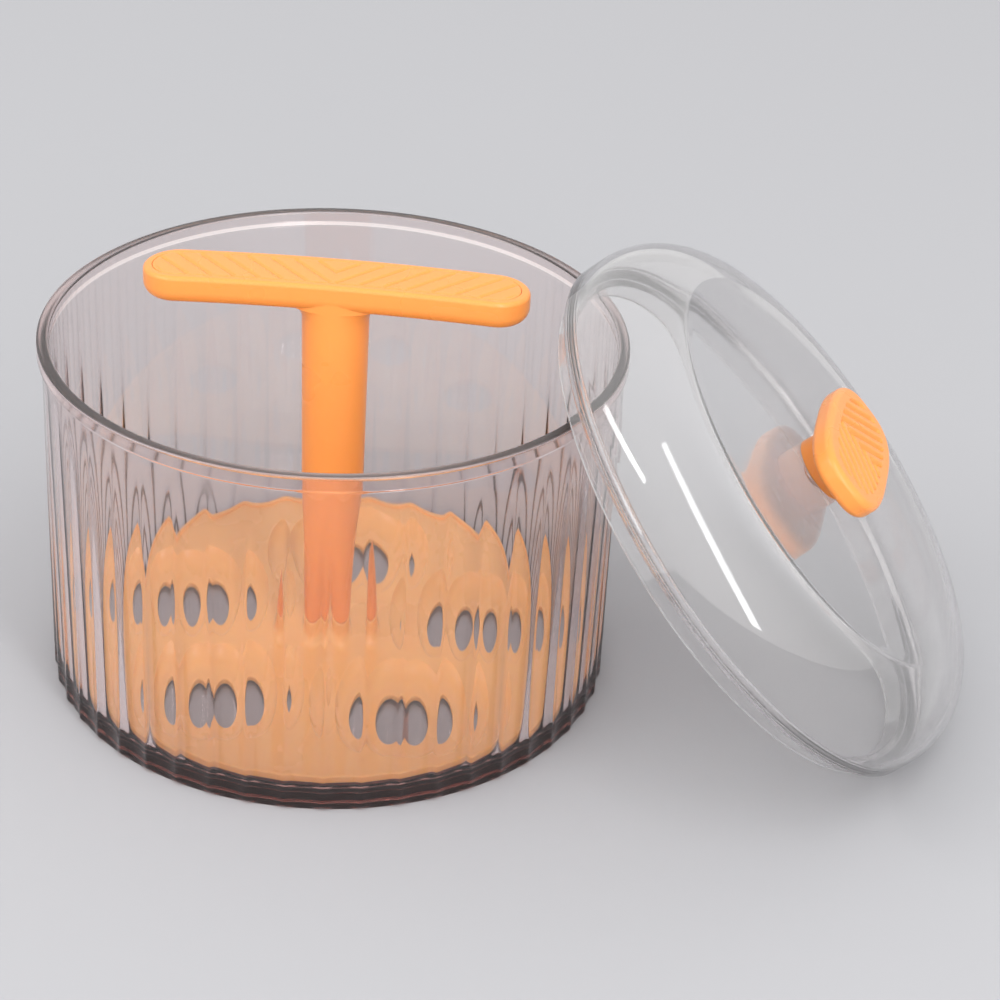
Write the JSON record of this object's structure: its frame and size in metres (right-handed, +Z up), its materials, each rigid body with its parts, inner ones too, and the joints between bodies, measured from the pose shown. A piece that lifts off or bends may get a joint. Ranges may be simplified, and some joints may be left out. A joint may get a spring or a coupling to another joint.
{
  "type": "soaking jar with lift-out drain tray",
  "caption": "Round fluted clear jar with a lift-out drain tray of round cups on a T-handle, and a domed clear lid with a knob leaning on its side.",
  "frame": {"origin": "on the jar's axis, in the plane that its foot stands on", "axes": "+Z up along the jar's axis; +X towards the side that the lid leans on; -Y towards the front"},
  "size_m": [0.274, 0.1924, 0.137],
  "materials": {
    "jar_plastic": "clear smoky plastic, polished",
    "lid_plastic": "clear smoky plastic, polished",
    "orange_plastic": "moulded, satin gloss",
    "screw_steel": "turned stainless steel",
    "washer_silicone": "soft matt silicone"
  },
  "bodies": {
    "jar_body": {"jar": "jar_plastic"},
    "tray_body": {"drain_tray": "orange_plastic"},
    "handle_body": {"t_handle": "orange_plastic", "grip_cap": "orange_plastic"},
    "lid_body": {"lid": "lid_plastic", "knob": "orange_plastic", "knob_screw": "screw_steel", "knob_washer": "washer_silicone"}
  },
  "joints": [
    {"name": "tray_lift", "type": "slide", "parent": "jar_body", "child": "tray_body", "axis": [0, 0, 1], "range_m": [0, 0.1]},
    {"name": "handle_twist", "type": "hinge", "parent": "tray_body", "child": "handle_body", "pos_m": [0, 0, 0.0127], "axis": [0, 0, 1], "range_deg": [0, 90]},
    {"name": "lid_lift", "type": "slide", "parent": "jar_body", "child": "lid_body", "axis": [0.7364, -0.1365, 0.6626], "range_m": [0, 0.08]}
  ]
}
